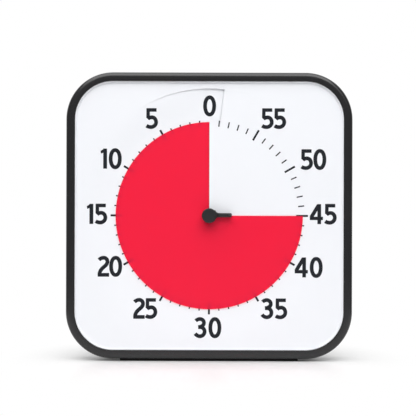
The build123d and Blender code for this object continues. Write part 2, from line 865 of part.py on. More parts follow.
def sound_switch_body():
    """Switch case on the inside of the back wall, held by two pegs."""
    half = switch_cavity + switch_body_wall
    y_front = inner_back_y - switch_body_depth
    body = block(switch_x - half, switch_x + half, y_front, inner_back_y, switch_low_z, switch_high_z)
    reach = half + switch_flange
    flange_y = inner_back_y - switch_body_wall
    body += block(switch_x - reach, switch_x + reach, flange_y, inner_back_y, switch_low_z, switch_high_z)
    body -= block(
        switch_x - switch_cavity, switch_x + switch_cavity,
        y_front + switch_body_wall, inner_back_y,
        switch_low_z + switch_body_wall, switch_high_z - switch_body_wall,
    )
    hole = switch_peg_radius + switch_peg_clearance
    return body - [rod(hole, flange_y, inner_back_y, x, switch_z) for x in switch_pegs()]


def switch_pegs():
    """X of the two pegs that hold the switch."""
    offset = switch_cavity + switch_body_wall + switch_flange / 2
    return switch_x - offset, switch_x + offset


def sound_switch_knob():
    """Knob that slides in the slot in the back wall, with a foot inside the switch."""
    x = switch_x - switch_travel / 2
    half_foot = switch_foot / 2
    foot_half_z = switch_body_height / 2 - switch_body_wall - switch_clearance
    foot_back_y = inner_back_y - switch_clearance
    knob = block(
        x - half_foot, x + half_foot,
        foot_back_y - switch_foot_thickness, foot_back_y,
        switch_z - foot_half_z, switch_z + foot_half_z,
    )
    tip_y = back_y - switch_dish_depth + switch_knob_proud
    half_x = switch_knob_width / 2
    half_z = switch_knob_height / 2
    return knob + block(x - half_x, x + half_x, foot_back_y, tip_y, switch_z - half_z, switch_z + half_z)


def buzzer_plate():
    """Brass disc of the buzzer, on a ledge in front of the sound holes."""
    return rod(buzzer_radius, buzzer_y, buzzer_y + buzzer_thickness, buzzer_x, buzzer_z)


def buzzer_ceramic():
    """Ceramic layer on the brass disc."""
    return rod(ceramic_radius, buzzer_y - ceramic_thickness, buzzer_y, buzzer_x, buzzer_z)


def lead(points):
    """Insulated wire along straight runs joined by round bends."""
    path = FilletPolyline(*points, radius=lead_bend)
    start = Plane(origin=path @ 0, z_dir=path % 0)
    return sweep(start * Circle(lead_radius), path=path)


def battery_leads():
    """Wires from the two contact tabs, laid straight up onto the board."""
    start_z = battery_z + contact_tab / 2
    end_z = board_z - board_height / 2 + board_edge
    middle = well_length / 2 - contact_thickness / 2
    return [
        Pos(x, board_lead_y, (start_z + end_z) / 2) * Cylinder(lead_radius, end_z - start_z)
        for x in (-middle, middle)
    ]


def buzzer_leads():
    """Wires from the ceramic and from the brass disc, laid across onto the board."""
    end_x = -board_width / 2 + board_edge
    low = board_z + buzzer_lead_rise
    starts = (
        (buzzer_x + ceramic_radius / 2, buzzer_y - ceramic_thickness, low),
        (buzzer_x + (ceramic_radius + buzzer_radius) / 2, buzzer_y, low + buzzer_lead_pitch),
    )
    return [lead([(x, y, z), (x, board_lead_y, z), (end_x, board_lead_y, z)]) for x, y, z in starts]


def switch_leads():
    """Wires from the sound switch, laid across onto the board."""
    end_x = board_width / 2 - board_edge
    y = inner_back_y - switch_body_depth
    starts = (
        (switch_x - lead_spacing, switch_z + lead_radius),
        (switch_x + lead_spacing, switch_z + lead_radius + lead_spacing / 2),
    )
    return [lead([(x, y, z), (x, board_lead_y, z), (end_x, board_lead_y, z)]) for x, z in starts]


def motor_lead_x(index):
    """X of each of the motor's two wires."""
    x = train_layout()[3][0]
    return x + stator_width / 2 + lead_radius + lead_clearance + index * lead_spacing


def motor_leads():
    """Wires from the coil to the board, through the notch under the movement."""
    x, offset = train_layout()[3]
    coil_end = x + stator_width / 2 - stator_leg - coil_gap - lead_radius
    coil_z = dial_z + offset + stator_leg_height - core_height / 2
    wires = []
    for index in (0, 1):
        run_x = motor_lead_x(index)
        z = coil_z + (index - 0.5) * lead_spacing
        end_z = board_z + board_height / 2 - board_edge
        wires.append(
            lead([
                (coil_end - lead_tail, motor_lead_y, z),
                (run_x, motor_lead_y, z),
                (run_x, motor_lead_y, end_z),
                (run_x, board_back_y, end_z),
            ])
        )
    return wires


def foot_places():
    """X of the left and the right foot."""
    return {"left": -foot_x, "right": foot_x}


def foot(side):
    """Foot folded out flat on the table, with its bore at the hinge and a recess for its pad."""
    low = foot_axis_z - foot_under_axis
    outline = Pos(foot_axis_y + (foot_length - foot_heel) / 2, low + foot_thickness / 2) * Rectangle(
        foot_length + foot_heel, foot_thickness
    )
    corners = outline.vertices().sort_by(Axis.X)
    outline = fillet(corners[:2], foot_heel_round)
    outline = fillet(outline.vertices().sort_by(Axis.X)[-2:], foot_tip_round)
    outline -= Pos(foot_axis_y, foot_axis_z) * Circle(foot_pin_radius + foot_pin_clearance)
    x = foot_places()[side]
    body = extrude(Plane.YZ.offset(x - foot_width / 2) * outline, amount=foot_width)
    return body - pad_block(side)


def pad_block(side):
    """Rubber pad let into the underside of a foot."""
    x = foot_places()[side]
    high = pad_thickness
    y_high = foot_axis_y + foot_length - pad_end
    return block(x - pad_width / 2, x + pad_width / 2, y_high - pad_length, y_high, 0, high)


def base_strip():
    """Rubber strip under the lower wall, glued to both halves of the case."""
    half = strip_length / 2
    strip_y = front_y + strip_setback
    return block(-half, half, strip_y, strip_y + strip_width, 0, strip_height)


def foot_pins():
    """Steel pins that the feet turn on."""
    reach = foot_width / 2 + foot_side_gap + pocket_side_wall
    return [
        cross_rod(foot_pin_radius, x - reach, x + reach, foot_axis_y, foot_axis_z)
        for x in foot_places().values()
    ]


def rear_housing():
    """Black tray that closes the back and holds the battery, switch, buzzer and feet."""
    inside_size = case_size - 2 * wall
    inside_radius = corner_radius - wall
    shell = square_slab(case_size, corner_radius, seam_y, back_y)
    shell = fillet(edges_at(shell, back_y), back_edge_round)
    shell -= square_slab(inside_size, inside_radius, seam_y, inner_back_y)
    shell += housing_lip(inside_size, inside_radius)
    shell += ears(seam_y, inner_back_y)
    shell += battery_walls()
    shell += buzzer_walls()
    peg_y = inner_back_y - switch_peg_length
    shell += [rod(switch_peg_radius, peg_y, inner_back_y, x, switch_z) for x in switch_pegs()]
    for x in foot_places().values():
        shell += foot_walls(x)
        shell -= foot_pocket(x)
    shell -= battery_hollow()
    shell -= switch_opening()
    shell -= sound_holes()
    shell -= keyhole()
    shell -= screw_rods(screw_radius + screw_clearance, seam_y, screw_seat_y)
    return shell - screw_rods(screw_head_radius + screw_clearance, screw_seat_y, back_y)


def housing_lip(inside_size, inside_radius):
    """Lip that goes into the bezel and presses the support plate forwards."""
    gap = lip_clearance
    outer = square_slab(inside_size - 2 * gap, inside_radius - gap, support_back_y, seam_y)
    root = square_slab(inside_size + wall, inside_radius + wall / 2, seam_y, seam_y + lip_root)
    inset = gap + lip_thickness
    hollow = square_slab(inside_size - 2 * inset, inside_radius - inset, support_back_y, seam_y + lip_root)
    lip = outer + root - hollow
    return lip - ears(support_back_y, seam_y, ear_clearance)


def battery_walls():
    """Trough round the cell and the thicker frame round the door."""
    half_x = well_length / 2 + well_wall
    half_z = cell_radius + cell_clearance + well_wall
    floor_y = well_floor_y - well_wall
    trough = block(-half_x, half_x, floor_y, inner_back_y, battery_z - half_z, battery_z + half_z)
    frame_x = door_width / 2 + door_clearance + door_frame
    low = door_low_z - door_clearance - door_frame
    high = door_axis_z + door_thickness / 2 + door_clearance + door_frame
    return trough + block(-frame_x, frame_x, door_seat_y - door_frame, inner_back_y, low, high)


def battery_hollow():
    """Space for the cell, the door with its hinge pins, the contacts' tabs and a finger scoop."""
    half_x = well_length / 2
    half_z = cell_radius + cell_clearance
    hollow = block(-half_x, half_x, well_floor_y, door_seat_y, battery_z - half_z, battery_z + half_z)
    door_x = door_width / 2 + door_clearance
    high = door_axis_z + door_thickness / 2 + door_clearance
    hollow += block(-door_x, door_x, door_seat_y, back_y, door_low_z - door_clearance, high)
    reach = door_x + door_pin_length
    hollow += cross_rod(door_pin_radius + door_pin_clearance, -reach, reach, door_axis_y, door_axis_z)
    hollow += rod(door_grip_radius, door_seat_y, back_y, 0, door_low_z - door_clearance)
    slot_z = contact_tab / 2 + contact_slot_clearance
    for side in (-1, 1):
        outer = side * well_length / 2
        inner = outer - side * (contact_thickness + contact_slot_clearance)
        hollow += block(
            min(outer, inner), max(outer, inner),
            well_floor_y - well_wall, well_floor_y,
            battery_z - slot_z, battery_z + slot_z,
        )
    return hollow


def buzzer_walls():
    """Ring that holds the buzzer, with a ledge under its edge."""
    inner = buzzer_radius + buzzer_clearance
    rim_y = inner_back_y - buzzer_rim_height
    ledge_y = inner_back_y - buzzer_room
    ring = rod(inner + buzzer_rim_wall, rim_y, inner_back_y, buzzer_x, buzzer_z)
    ring -= rod(inner, rim_y, ledge_y, buzzer_x, buzzer_z)
    return ring - rod(buzzer_radius - buzzer_seat, ledge_y, inner_back_y, buzzer_x, buzzer_z)


def sound_holes():
    """Holes through the back wall behind the buzzer, in rings."""
    places = [(0.0, 0.0)]
    for ring in range(1, sound_hole_rings + 1):
        for hole in range(6 * ring):
            angle = math.radians(60 * hole / ring)
            radius = ring * sound_hole_pitch
            places.append((radius * math.cos(angle), radius * math.sin(angle)))
    return [rod(sound_hole_radius, inner_back_y, back_y, buzzer_x + x, buzzer_z + z) for x, z in places]


def switch_opening():
    """Dished recess in the back wall and the slot that the knob slides in."""
    slot_width = switch_knob_width + switch_travel + 2 * switch_clearance
    slot_height = switch_knob_height + 2 * switch_clearance
    dish = Pos(switch_x, switch_z) * Rectangle(switch_dish_width, switch_dish_height)
    slot = Pos(switch_x, switch_z) * Rectangle(slot_width, slot_height)
    dish_y = back_y - switch_dish_depth
    return slab(dish, dish_y, back_y) + slab(slot, inner_back_y, dish_y)


def keyhole():
    """Hole for the head of a wall screw, with a slot above it for the screw's neck."""
    low = case_top_z - keyhole_drop
    high = low + keyhole_rise
    outline = Pos(0, low) * Circle(keyhole_radius)
    outline += Pos(0, (low + high) / 2) * Rectangle(keyhole_slot, keyhole_rise)
    outline += Pos(0, high) * Circle(keyhole_slot / 2)
    return slab(outline, inner_back_y, back_y)


def foot_walls(x):
    """Box inside the housing that a foot folds into, with bosses for its pin and its finger scoop."""
    half = foot_width / 2 + foot_side_gap + pocket_side_wall
    floor_y = pocket_floor_y - pocket_wall
    low = base_z + wall / 2
    box = block(x - half, x + half, floor_y, inner_back_y, low, pocket_top_z + pocket_wall)
    scoop_y = back_y - grip_depth - pocket_wall
    return box + rod(grip_radius + pocket_wall, scoop_y, inner_back_y, x, pocket_top_z)


def foot_pocket(x):
    """Space that a foot folds into, with the holes for its pin."""
    half = foot_width / 2 + foot_side_gap
    hollow = block(x - half, x + half, pocket_floor_y, back_y, base_z, pocket_top_z)
    hollow += rod(grip_radius, back_y - grip_depth, back_y, x, pocket_top_z)
    reach = half + pocket_side_wall
    return hollow + cross_rod(foot_pin_radius, x - reach, x + reach, foot_axis_y, foot_axis_z)


PARTS = {
    "front_bezel": front_bezel,
    "dial_card": dial_card,
    "red_disc": red_disc,
    "dial_support": dial_support,
    "rear_housing": rear_housing,
    "case_screws": case_screws,
    "pointer_hub": pointer_hub,
    "disc_ring": disc_ring,
    "centre_arbor": centre_arbor,
    "centre_wheel": centre_wheel,
    "clutch_spring": clutch_spring,
    "third_wheel": third_wheel,
    "second_wheel": second_wheel,
    "rotor_pinion": rotor_pinion,
    "rotor_magnet": rotor_magnet,
    "stator": stator,
    "coil": coil,
    "movement_cover": movement_cover,
    "movement_base": movement_base,
    "alarm_cam": alarm_cam,
    "alarm_contact": alarm_contact,
    "circuit_board": circuit_board,
    "control_chip": control_chip,
    "quartz_crystal": quartz_crystal,
    "storage_capacitor": storage_capacitor,
    "support_screws": support_screws,
    "aa_cell": aa_cell,
    "positive_contact": positive_contact,
    "negative_contact": negative_contact,
    "battery_spring": battery_spring,
    "battery_door": battery_door,
    "sound_switch_body": sound_switch_body,
    "sound_switch_knob": sound_switch_knob,
    "buzzer_plate": buzzer_plate,
    "buzzer_ceramic": buzzer_ceramic,
    "battery_leads": battery_leads,
    "buzzer_leads": buzzer_leads,
    "switch_leads": switch_leads,
    "motor_leads": motor_leads,
    "left_foot": lambda: foot("left"),
    "right_foot": lambda: foot("right"),
    "left_foot_pad": lambda: pad_block("left"),
    "right_foot_pad": lambda: pad_block("right"),
    "foot_pins": foot_pins,
    "base_strip": base_strip,
}

os.makedirs("parts", exist_ok=True)
for name, make in PARTS.items():
    made = make()
    if isinstance(made, list):
        made = Compound(children=made)
    export_step(made, f"parts/{name}.step")
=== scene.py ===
"""Looks of the visual countdown timer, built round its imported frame.

X runs to the right, Y from the dial to the back, and Z up from the table. Lengths are
millimetres, but metres for the floor, the lights and the camera's view. Angles on the dial are
degrees clockwise from twelve, seen from the front.
"""

import json
import math

import bmesh
import bpy
import numpy as np
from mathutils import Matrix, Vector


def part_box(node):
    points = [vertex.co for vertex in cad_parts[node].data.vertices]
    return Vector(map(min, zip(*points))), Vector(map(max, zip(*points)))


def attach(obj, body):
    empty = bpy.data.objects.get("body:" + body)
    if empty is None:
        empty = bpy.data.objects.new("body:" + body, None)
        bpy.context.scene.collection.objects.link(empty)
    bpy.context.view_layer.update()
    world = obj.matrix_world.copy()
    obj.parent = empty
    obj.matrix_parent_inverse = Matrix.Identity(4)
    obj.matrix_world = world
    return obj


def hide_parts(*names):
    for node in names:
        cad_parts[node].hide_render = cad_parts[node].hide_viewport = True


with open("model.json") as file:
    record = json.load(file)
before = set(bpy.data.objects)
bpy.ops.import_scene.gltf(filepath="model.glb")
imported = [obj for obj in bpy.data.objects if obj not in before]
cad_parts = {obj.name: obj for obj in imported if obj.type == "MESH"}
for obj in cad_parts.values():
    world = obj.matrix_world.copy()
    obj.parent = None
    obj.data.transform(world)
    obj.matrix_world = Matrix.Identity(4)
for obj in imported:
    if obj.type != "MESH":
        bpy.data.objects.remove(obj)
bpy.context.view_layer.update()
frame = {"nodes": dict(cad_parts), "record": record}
nodes = frame["nodes"]

# ---------------------------------------------------------------------------------------------
# Front bezel
# One black ABS moulding with a fine spark texture, screwed to the housing from behind.
# It frames the dial with a band that is rounded outside and has a smaller round inside.
MM = 0.001
DIAL_Z = 155.0
CORNER_CENTRE = 102.5
CORNER_RADIUS = 50.0
ARC_STEPS = 24
SIDE_STEPS = 24
SHARP_ANGLE = 32.0
WEAR_SCALE = 45.0
WEAR_DETAIL = 3.0
GRAIN_DETAIL = 2.0
ABS_BLACK = (0.0135, 0.0132, 0.0143)


def loop_parts():
    """Corner centres and outward directions round the case, anticlockwise from three o'clock.

    A quarter turn of direction about one corner centre is followed by a slide to the next centre.
    """
    turn = np.repeat(np.arange(4), ARC_STEPS + SIDE_STEPS)
    step = np.tile(np.arange(ARC_STEPS + SIDE_STEPS), 4)
    bend = np.minimum(step / ARC_STEPS, 1.0)
    slide = np.maximum(step - ARC_STEPS, 0)[:, None] / SIDE_STEPS
    angle = (turn + bend) * math.pi / 2
    corners = CORNER_CENTRE * np.array([(1, 1), (-1, 1), (-1, -1), (1, -1)])
    centre = corners[turn] * (1 - slide) + corners[(turn + 1) % 4] * slide
    return centre, np.stack([np.cos(angle), np.sin(angle)], -1)


LOOP_CENTRE, LOOP_DIRECTION = loop_parts()


def offset_loop(inset):
    """Rounded square about the dial at an inset from the case's edge, as X and Z offsets."""
    return LOOP_CENTRE + (CORNER_RADIUS - inset) * LOOP_DIRECTION


def at_depth(flat, y):
    """Points from X and Z offsets about the dial and a depth Y for each."""
    y = np.broadcast_to(np.asarray(y, float), flat.shape[:-1])
    return np.stack([flat[..., 0], y, flat[..., 1] + DIAL_Z], -1)


def arc(centre, radii, start, end, steps):
    """Points on an ellipse's arc between two angles in degrees, ends included."""
    angle = np.radians(np.linspace(start, end, steps + 1))
    first = centre[0] + radii[0] * np.cos(angle)
    second = centre[1] + radii[1] * np.sin(angle)
    return np.stack([first, second], -1)


def shell(points, wrap_rows=False):
    """Vertices and faces of a grid whose rows are closed loops.

    With wrap_rows the last row joins the first one, and otherwise both get a cap.
    """
    rows, columns = points.shape[:2]
    row = np.arange(rows if wrap_rows else rows - 1)
    r, c = (a.ravel() for a in np.meshgrid(row, np.arange(columns), indexing="ij"))
    r2, c2 = (r + 1) % rows, (c + 1) % columns
    quads = np.stack([r * columns + c, r * columns + c2, r2 * columns + c2, r2 * columns + c], -1)
    faces = quads.tolist()
    if not wrap_rows:
        faces += [list(range(columns))[::-1], list(range((rows - 1) * columns, rows * columns))]
    return points.reshape(-1, 3), faces


def sweep_loop(profile):
    """Closed section of insets and depths carried round the case's rounded square."""
    flat = np.stack([offset_loop(inset) for inset in profile[:, 0]], 1)
    return shell(at_depth(flat, profile[:, 1]), wrap_rows=True)


def add_piece(name, shells, material, body, replaced=()):
    """One object made of closed shells, with its normals outward and its sharp edges kept."""
    vertices, faces, start = [], [], 0
    for points, quads in shells:
        vertices.append(points)
        faces += [[index + start for index in face] for face in quads]
        start += len(points)
    mesh = bpy.data.meshes.new(name)
    mesh.from_pydata((np.concatenate(vertices) * MM).tolist(), [], faces)
    tidy = bmesh.new()
    tidy.from_mesh(mesh)
    bmesh.ops.recalc_face_normals(tidy, faces=tidy.faces)
    tidy.to_mesh(mesh)
    tidy.free()
    mesh.shade_smooth()
    mesh.set_sharp_from_angle(angle=math.radians(SHARP_ANGLE))
    mesh.materials.append(material)
    piece = bpy.data.objects.new(name, mesh)
    bpy.context.scene.collection.objects.link(piece)
    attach(piece, body)
    if replaced:
        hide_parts(*replaced)


def surface(name, colour, roughness, grain=0.0, grain_size=0.5, mottle=0.0, metallic=0.0, **inputs):
    """Principled material: a noise lifts the surface by grain, another one shifts the roughness.

    Both noises are in object coordinates. The grain's height and size are millimetres; the wear's
    scale counts its waves in a metre.
    """
    material = bpy.data.materials.new(name)
    material.use_nodes = True
    tree = material.node_tree
    shader = tree.nodes["Principled BSDF"]
    shader.inputs["Base Color"].default_value = (*colour, 1.0)
    shader.inputs["Metallic"].default_value = metallic
    for key, value in inputs.items():
        shader.inputs[key.replace("_", " ")].default_value = value
    place = tree.nodes.new("ShaderNodeTexCoord")
    wear = tree.nodes.new("ShaderNodeTexNoise")
    wear.inputs["Scale"].default_value = WEAR_SCALE
    wear.inputs["Detail"].default_value = WEAR_DETAIL
    tree.links.new(place.outputs["Object"], wear.inputs["Vector"])
    spread = tree.nodes.new("ShaderNodeMapRange")
    spread.inputs["To Min"].default_value = roughness - mottle
    spread.inputs["To Max"].default_value = roughness + mottle
    tree.links.new(wear.outputs["Fac"], spread.inputs["Value"])
    tree.links.new(spread.outputs["Result"], shader.inputs["Roughness"])
    if grain:
        texture = tree.nodes.new("ShaderNodeTexNoise")
        texture.inputs["Scale"].default_value = 1.0 / (grain_size * MM)
        texture.inputs["Detail"].default_value = GRAIN_DETAIL
        bump = tree.nodes.new("ShaderNodeBump")
        bump.inputs["Distance"].default_value = grain * MM
        tree.links.new(place.outputs["Object"], texture.inputs["Vector"])
        tree.links.new(texture.outputs["Fac"], bump.inputs["Height"])
        tree.links.new(bump.outputs["Normal"], shader.inputs["Normal"])
    return material


case_black = surface(
    "case_black", ABS_BLACK, roughness=0.21, grain=0.006, grain_size=0.7, mottle=0.02
)

SEAM_BREAK = 0.35
OUTER_ROUND = 4.6
OUTER_STEPS = 10
INNER_ROUND = 0.7
INNER_STEPS = 7
BAND = 9.6
FRONT_Y = -20.0
SEAM_Y = -2.0
CARD_Y = -17.0
WALL = 3.0
outer_centre = (OUTER_ROUND, FRONT_Y + OUTER_ROUND)
inner_centre = (BAND - INNER_ROUND, FRONT_Y + INNER_ROUND)
bezel_profile = np.concatenate([
    [(SEAM_BREAK, SEAM_Y), (0.0, SEAM_Y - SEAM_BREAK)],
    arc(outer_centre, (OUTER_ROUND, OUTER_ROUND), 180, 270, OUTER_STEPS),
    arc(inner_centre, (INNER_ROUND, INNER_ROUND), 270, 360, INNER_STEPS),
    [(BAND, CARD_Y), (WALL, CARD_Y), (WALL, SEAM_Y)],
])
add_piece("bezel", [sweep_loop(bezel_profile)], case_black, "case", ["front_bezel"])

# ---------------------------------------------------------------------------------------------
# Dial card
# A thin white moulding: a flat border with a low lip along the bezel, and one turn of a spiral
# floor. The floor's rim is level with the border except near twelve, where it drops away to the
# slit.
CARD_EDGE = 3.3
CARD_THICKNESS = 0.8
SUPPORT_Y = -12.0
# Points of the lip: inset past the band's edge or past LIP_END, and height above the card
LIP_RISE = ((-0.2, 0.0), (0.05, 1.7))
LIP_END = 10.9
LIP_FALL = ((-0.2, 1.7), (0.0, 1.6), (0.12, 0.06), (0.2, 0.0))
BORDER_END = 13.2
RECESS_RADIUS = 135.4
# Points of the small round at the recess's rim: radius past the wall, and depth below the border
RECESS_ROUND = ((0.6, 0.0), (0.25, 0.0), (0.07, 0.07), (0.0, 0.25))
RECESS_WALL = 1.0
CARD_BORE = 7.0
SLIT_RADIUS = 102.0
FLAP_ANGLE = 6.8
SPIRAL_RISE = 2.0
SPIRAL_START_Y = -16.9
STEP_START = 315.0
FLOOR_LEVEL_Y = -16.98
FLOOR_RINGS = 8
FLOOR_STEPS = 300
RIM_RINGS = 22
RIM_STEPS = 360
RIM_OVERLAP = 0.5
CARD_WHITE = (0.83, 0.845, 0.88)


def polar(radius, degrees):
    """X and Z offsets of a radius at an angle clockwise from twelve."""
    angle = np.radians(degrees)
    return np.stack([radius * np.sin(angle), radius * np.cos(angle)], -1)


def smooth_step(share):
    """Smooth rise from nought to one with level ends, for a share between them."""
    return share * share * (3 - 2 * share)


def card_depth(radius, degrees):
    """Y of the card's front: a spiral inside the slit's reach, blended to the border outside it.

    The blend is a smooth step in radius; near twelve it gives way, as the square of the angle,
    to the spiral's own level, which opens the step at the recess's edge.
    """
    spiral = SPIRAL_START_Y + SPIRAL_RISE * degrees / 360
    share = np.clip((radius - SLIT_RADIUS) / (RECESS_RADIUS - SLIT_RADIUS), 0, 1)
    opening = np.clip((degrees - STEP_START) / (360 + FLAP_ANGLE - STEP_START), 0, 1) ** 2
    return spiral + (FLOOR_LEVEL_Y - spiral) * smooth_step(share) * (1 - opening)


def spiral_slab(radii, start, end, steps, depth, thickness):
    """Closed slab over a turn: a section of front and back points carried round the dial."""
    degrees = np.linspace(start, end, steps + 1)[:, None]
    radius = np.broadcast_to(radii, (steps + 1, len(radii)))
    front_y = depth(radius, degrees)
    front = at_depth(polar(radius, degrees), front_y)
    back = at_depth(polar(radius, degrees), front_y + thickness)
    return shell(np.concatenate([front, back[:, ::-1]], 1))


def card_border():
    """Closed section from the card's edge over the lip to the recess's round wall.

    The points up to the border's end follow the case's outline, and the other ones are circles.
    """
    back_y = CARD_Y + CARD_THICKNESS
    insets = [(CARD_EDGE, back_y), (CARD_EDGE, CARD_Y)]
    insets += [(BAND + past, CARD_Y - height) for past, height in LIP_RISE]
    insets += [(LIP_END + past, CARD_Y - height) for past, height in LIP_FALL]
    insets.append((BORDER_END, CARD_Y))
    rings = [at_depth(offset_loop(inset), y) for inset, y in insets]
    outer = offset_loop(BORDER_END)
    direction = outer / np.linalg.norm(outer, axis=1)[:, None]
    wall_radius = RECESS_RADIUS + RECESS_WALL
    circles = [(RECESS_RADIUS + past, CARD_Y + depth) for past, depth in RECESS_ROUND]
    circles += [(RECESS_RADIUS, SUPPORT_Y), (wall_radius, SUPPORT_Y), (wall_radius, back_y)]
    rings += [at_depth(radius * direction, y) for radius, y in circles]
    rings.append(at_depth(outer, back_y))
    return shell(np.stack(rings, 1), wrap_rows=True)


card_white = surface(
    "card_white", CARD_WHITE, roughness=0.42, grain=0.004, grain_size=0.6, mottle=0.03
)
floor_radii = np.linspace(CARD_BORE, SLIT_RADIUS, FLOOR_RINGS)
rim_radii = np.linspace(SLIT_RADIUS, RECESS_RADIUS, RIM_RINGS)
rim_radii = np.append(rim_radii, RECESS_RADIUS + RIM_OVERLAP)
card_end = 360 + FLAP_ANGLE
dial_card_shells = [
    card_border(),
    spiral_slab(floor_radii, 0, card_end, FLOOR_STEPS, card_depth, CARD_THICKNESS),
    spiral_slab(rim_radii, FLAP_ANGLE, card_end, RIM_STEPS, card_depth, CARD_THICKNESS),
]
add_piece("dial_face", dial_card_shells, card_white, "case", ["dial_card"])

# ---------------------------------------------------------------------------------------------
# Dial print
# Screen-printed ink on the card: a mark for every minute except at twelve, and the numbers 0 to
# 55, which run anticlockwise. Each stroke is a thin ribbon that follows the card's surface.
INK_HEIGHT = 0.04
INK_SINK = 0.03
INK = (0.010, 0.0115, 0.016)
MARK_SHORT = (95.2, 101.7, 1.35)
MARK_LONG = (92.7, 105.2, 2.15)
MARK_POINTS = 5
MINUTE_ANGLE = 6.0
MITRE_LIMIT = 0.3
CURVE_POINTS = 13
OVAL_POINTS = 72
OVAL_POWERS = (0.92, 0.96)
ink_black = surface(
    "ink_black", INK, roughness=0.5, grain=0.004, grain_size=0.4, mottle=0.04,
    Specular_IOR_Level=0.2,
)


def printed_depth(flat):
    """Y of the card's front below points given as X and Z offsets about the dial."""
    radius = np.hypot(flat[..., 0], flat[..., 1])
    degrees = np.degrees(np.arctan2(flat[..., 0], flat[..., 1])) % 360
    low_side = (radius > SLIT_RADIUS) & (degrees < FLAP_ANGLE)
    return card_depth(radius, degrees + 360 * low_side)


def ribbon(path, width, closed=False):
    """Ribbon of ink along a line; each point is set off to both sides along the mitre."""
    ahead = np.roll(path, -1, 0) - path
    behind = path - np.roll(path, 1, 0)
    if not closed:
        ahead[-1], behind[0] = behind[-1], ahead[0]
    ahead /= np.linalg.norm(ahead, axis=1)[:, None]
    behind /= np.linalg.norm(behind, axis=1)[:, None]
    mitre = ahead + behind
    mitre /= np.linalg.norm(mitre, axis=1)[:, None]
    reach = width / 2 / np.clip((mitre * ahead).sum(1), MITRE_LIMIT, 1)[:, None]
    side = np.stack([-mitre[:, 1], mitre[:, 0]], -1) * reach
    edges = np.stack([path + side, path - side], 1)
    y = printed_depth(edges)
    top = at_depth(edges, y - INK_HEIGHT)
    base = at_depth(edges, y + INK_SINK)
    return shell(np.concatenate([top, base[:, ::-1]], 1), wrap_rows=closed)


def minute_marks():
    """Radial strokes every six degrees except at twelve, longer and wider at each fifth one."""
    marks = []
    for minute in range(1, 60):
        start, end, width = MARK_SHORT if minute % 5 else MARK_LONG
        radius = np.linspace(start, end, MARK_POINTS)
        degrees = np.full(MARK_POINTS, -MINUTE_ANGLE * minute)
        marks.append(ribbon(polar(radius, degrees), width))
    return marks


def straight(*points):
    """Points along a broken line, about a millimetre apart, so that the ink follows the card."""
    pieces = [np.array([points[0]], float)]
    for start, end in zip(points, points[1:]):
        share = np.linspace(0, 1, max(1, round(math.dist(start, end))) + 1)[1:, None]
        pieces.append(np.array(start) * (1 - share) + np.array(end) * share)
    return np.concatenate(pieces)


def bend(*points):
    """Points on a Bezier curve through its first and last control point."""
    share = np.linspace(0, 1, CURVE_POINTS)[:, None]
    order = len(points) - 1
    return sum(
        math.comb(order, i) * (1 - share) ** (order - i) * share**i * np.array(point, float)
        for i, point in enumerate(points)
    )


def joined(*pieces):
    """One line out of pieces that each start where the last one ends."""
    return np.concatenate([pieces[0]] + [piece[1:] for piece in pieces[1:]])


def oval(half_width, half_height):
    """Closed line of the nought: an ellipse with slightly straighter sides."""
    angle = np.linspace(0, 2 * math.pi, OVAL_POINTS, endpoint=False)
    circle = np.stack([np.cos(angle), np.sin(angle)], -1)
    return (half_width, half_height) * np.sign(circle) * np.abs(circle) ** OVAL_POWERS


# Centre lines of each figure about its middle, with the stroke's width; only the nought is closed
STROKE = 4.05
THIN = 3.7
FLAG = 3.1
FIGURES = {
    "0": [(oval(4.85, 9.15), STROKE)],
    "1": [
        (straight((1.5, -10.7), (1.5, 10.7)), STROKE),
        (bend((-3.2, 7.0), (-1.4, 7.1), (0.8, 9.3)), FLAG),
    ],
    "2": [
        (joined(
            bend((-4.8, 6.8), (-2.6, 9.1), (0.3, 9.1)),
            arc((0.3, 5.1), (3.95, 4.0), 90, 0, 12),
            bend((4.25, 5.1), (4.25, 2.0), (1.6, 0.4), (-0.9, -1.9)),
            bend((-0.9, -1.9), (-3.2, -4.1), (-4.2, -6.4), (-4.2, -9.6)),
        ), STROKE),
        (straight((-6.05, -9.05), (6.1, -9.05)), THIN + 0.3),
    ],
    "3": [
        (joined(
            bend((-4.6, 7.1), (-2.6, 9.15), (-0.1, 9.15)),
            arc((-0.1, 5.1), (4.25, 4.05), 90, -60, 16),
            bend((2.02, 1.6), (1.1, 0.75), (-2.05, 0.6)),
        ), STROKE),
        (joined(
            straight((-2.05, 0.5), (0.4, 0.5)),
            arc((0.4, -4.3), (4.45, 4.8), 90, 0, 12),
            arc((-0.1, -4.3), (4.95, 4.85), 0, -90, 12),
            bend((-0.1, -9.15), (-3.0, -9.15), (-5.2, -6.3)),
        ), STROKE),
    ],
    "4": [
        (straight((-5.4, -3.45), (2.4, 9.55)), STROKE - 0.1),
        (straight((-6.95, -4.6), (7.0, -4.6)), THIN - 0.1),
        (straight((3.1, -10.7), (3.1, 10.6)), THIN + 0.2),
    ],
    "5": [
        (straight((5.2, 9.0), (-5.35, 9.0)), THIN + 0.1),
        (straight((-3.75, 10.5), (-3.85, 0.4)), THIN),
        (joined(
            bend((-4.1, -0.7), (-2.5, 1.2), (0.4, 1.2)),
            arc((0.4, -3.9), (4.3, 5.1), 90, 0, 12),
            arc((-0.7, -3.9), (5.4, 5.25), 0, -90, 14),
            bend((-0.7, -9.15), (-3.5, -9.15), (-5.5, -7.65)),
        ), STROKE),
    ],
}

